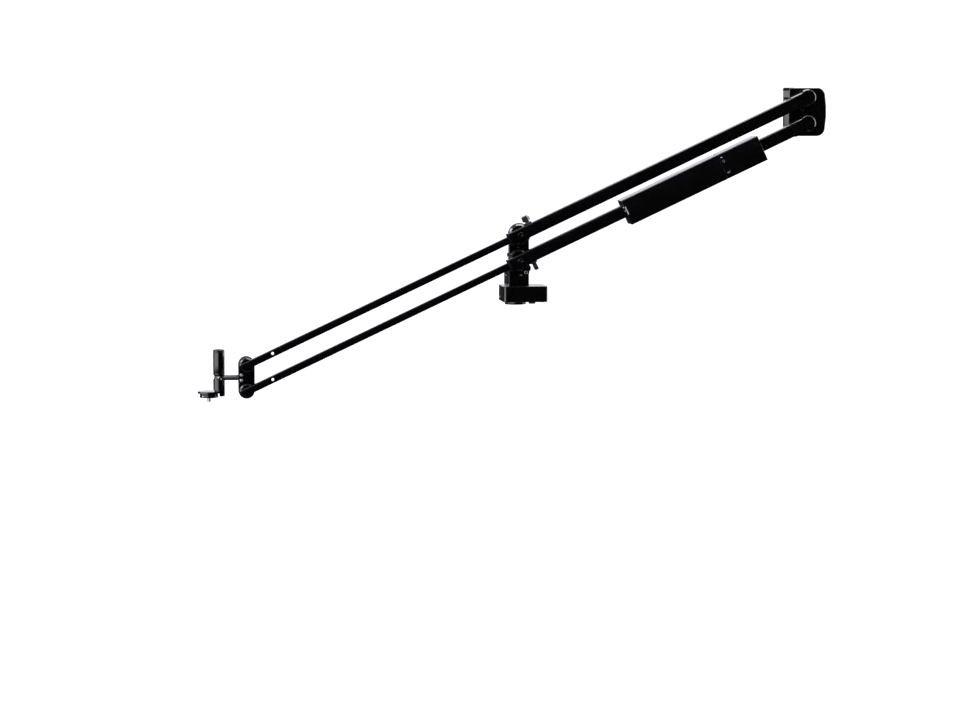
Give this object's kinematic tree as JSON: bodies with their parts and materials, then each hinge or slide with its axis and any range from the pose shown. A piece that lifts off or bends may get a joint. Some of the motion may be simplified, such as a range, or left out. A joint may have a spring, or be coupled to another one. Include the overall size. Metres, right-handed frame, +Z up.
{
  "type": "camera jib crane",
  "caption": "Travel camera jib crane: telescoping parallelogram arm on a panning base, boxed counterweight behind, swivelling camera mount with upright grip in front.",
  "frame": {"origin": "on the pan axis at the underside of the tripod mount disc, at the mouth of its screw socket", "axes": "+Z up along the pan axis, +X towards the counterweight end of the arms, +Y away from the side the arms are on"},
  "size_m": [1.4934, 0.1531, 0.7318],
  "materials": {
    "black_anodised": "black anodised, satin",
    "black_tube": "black anodised drawn tube, fine lengthwise grain",
    "black_casing": "fine black powder coat",
    "black_plastic": "moulded, lightly grained",
    "satin_steel": "turned, satin",
    "bronze": "turned bearing bronze",
    "bare_steel": "sawn steel slab"
  },
  "bodies": {
    "tripod_mount": {"tripod_mount_disc": "black_anodised", "screw_insert": "satin_steel", "pan_retainer": "satin_steel"},
    "pan_head": {"base_housing": "black_anodised", "base_cover": "black_anodised", "pan_bearing": "bronze", "column_plate": "black_anodised", "column_block": "black_anodised", "pivot_pinch_screw": "black_anodised", "lower_pivot_bearing": "bronze", "upper_pivot_bearing": "bronze", "brake_shoe": "black_anodised"},
    "pan_lock": {"pan_lock_wheel": "black_plastic"},
    "tilt_lock": {"tilt_lock_screw": "satin_steel", "tilt_lock_knob": "black_plastic"},
    "lower_arm": {"lower_pivot_hub": "black_anodised", "lower_pivot_nut": "black_anodised", "lower_rear_tube": "black_tube", "lower_guide_bush": "black_plastic", "lower_rear_eye": "black_anodised"},
    "upper_arm": {"upper_pivot_hub": "black_anodised", "upper_pivot_nut": "black_anodised", "upper_rear_tube": "black_tube", "upper_guide_bush": "black_plastic", "upper_rear_eye": "black_anodised"},
    "lower_key": {"lower_clamp_key": "black_plastic"},
    "upper_key": {"upper_clamp_key": "black_plastic"},
    "lower_front_arm": {"lower_front_tube": "black_tube", "lower_front_end": "black_anodised", "lower_glide": "black_plastic"},
    "upper_front_arm": {"upper_front_tube": "black_tube", "upper_front_end": "black_anodised", "upper_glide": "black_plastic"},
    "front_link": {"front_link_plate": "black_anodised", "lower_front_pin": "black_anodised", "upper_front_pin": "black_anodised", "upper_clamp_screw": "satin_steel", "lower_clamp_screw": "satin_steel", "handle_rod": "satin_steel"},
    "camera_grip": {"handle_body": "black_anodised", "rod_lock_screw": "satin_steel", "upper_grip": "black_anodised", "grip_cap": "black_anodised", "mount_flange": "black_anodised"},
    "camera_ring": {"camera_ring": "black_anodised", "camera_stud": "satin_steel"},
    "rear_link": {"rear_housing": "black_casing", "rear_cover": "black_plastic", "lower_rear_pin": "satin_steel", "upper_rear_pin": "satin_steel"},
    "counterweight": {"front_weight_shell": "black_casing", "rear_weight_shell": "black_casing", "front_weight_guide": "black_plastic", "rear_weight_guide": "black_plastic", "front_near_weight": "bare_steel", "front_far_weight": "bare_steel", "rear_near_weight": "bare_steel", "rear_far_weight": "bare_steel"},
    "weight_lock": {"weight_lock_knob": "black_plastic"}
  },
  "joints": [
    {"name": "pan", "type": "hinge", "parent": "tripod_mount", "child": "pan_head", "pos_m": [0, 0, 0], "axis": [0, 0, 1], "continuous": true},
    {"name": "tilt", "type": "hinge", "parent": "pan_head", "child": "lower_arm", "pos_m": [0.003, -0.061, 0.1065], "axis": [0, 1, 0], "range_deg": [-17.5, 69]},
    {"name": "upper_arm_tilt", "type": "hinge", "parent": "pan_head", "child": "upper_arm", "pos_m": [0.003, -0.061, 0.1675], "axis": [0, 1, 0], "range_deg": [-17.5, 69]},
    {"name": "arm_extension", "type": "slide", "parent": "lower_arm", "child": "lower_front_arm", "axis": [0.9056, 0, 0.4242], "range_m": [0, 0.55]},
    {"name": "upper_arm_extension", "type": "slide", "parent": "upper_arm", "child": "upper_front_arm", "axis": [0.9056, 0, 0.4242], "range_m": [0, 0.55]},
    {"name": "front_link_pivot", "type": "hinge", "parent": "lower_front_arm", "child": "front_link", "pos_m": [-0.6395, -0.061, -0.19447], "axis": [0, 1, 0], "range_deg": [-69, 17.5]},
    {"name": "rear_link_pivot", "type": "hinge", "parent": "lower_arm", "child": "rear_link", "pos_m": [0.68806, -0.061, 0.42741], "axis": [0, 1, 0], "range_deg": [-69, 17.5]},
    {"name": "weight_slide", "type": "slide", "parent": "lower_arm", "child": "counterweight", "axis": [0.9056, 0, 0.4242], "range_m": [-0.1, 0.035]},
    {"name": "weight_lock_turn", "type": "hinge", "parent": "counterweight", "child": "weight_lock", "pos_m": [0.36405, -0.024, 0.27563], "axis": [0, 1, 0], "range_deg": [-90, 90]},
    {"name": "upper_key_turn", "type": "hinge", "parent": "upper_arm", "child": "upper_key", "pos_m": [0.01942, -0.061, 0.19728], "axis": [-0.4242, 0, 0.9056], "range_deg": [-90, 90]},
    {"name": "lower_key_turn", "type": "hinge", "parent": "lower_arm", "child": "lower_key", "pos_m": [0.03639, -0.061, 0.10005], "axis": [0.4242, 0, -0.9056], "range_deg": [-90, 90]},
    {"name": "tilt_lock_turn", "type": "hinge", "parent": "pan_head", "child": "tilt_lock", "pos_m": [0.019, 0.05, 0.0782], "axis": [0, 1, 0], "range_deg": [-90, 90]},
    {"name": "pan_lock_turn", "type": "hinge", "parent": "pan_head", "child": "pan_lock", "pos_m": [0.04, 0, 0.004], "axis": [0, 0, 1], "range_deg": [-90, 90]},
    {"name": "handle_roll", "type": "hinge", "parent": "front_link", "child": "camera_grip", "pos_m": [-0.7037, -0.0315, -0.16397], "axis": [1, 0, 0], "range_deg": [-90, 90]},
    {"name": "camera_ring_turn", "type": "hinge", "parent": "camera_grip", "child": "camera_ring", "pos_m": [-0.7272, -0.0315, -0.21027], "axis": [0, 0, 1], "continuous": true}
  ],
  "couplings": [
    {"joint": "upper_arm_tilt", "follows": "tilt", "ratio": 1},
    {"joint": "front_link_pivot", "follows": "tilt", "ratio": -1},
    {"joint": "rear_link_pivot", "follows": "tilt", "ratio": -1},
    {"joint": "upper_arm_extension", "follows": "arm_extension", "ratio": 1}
  ]
}
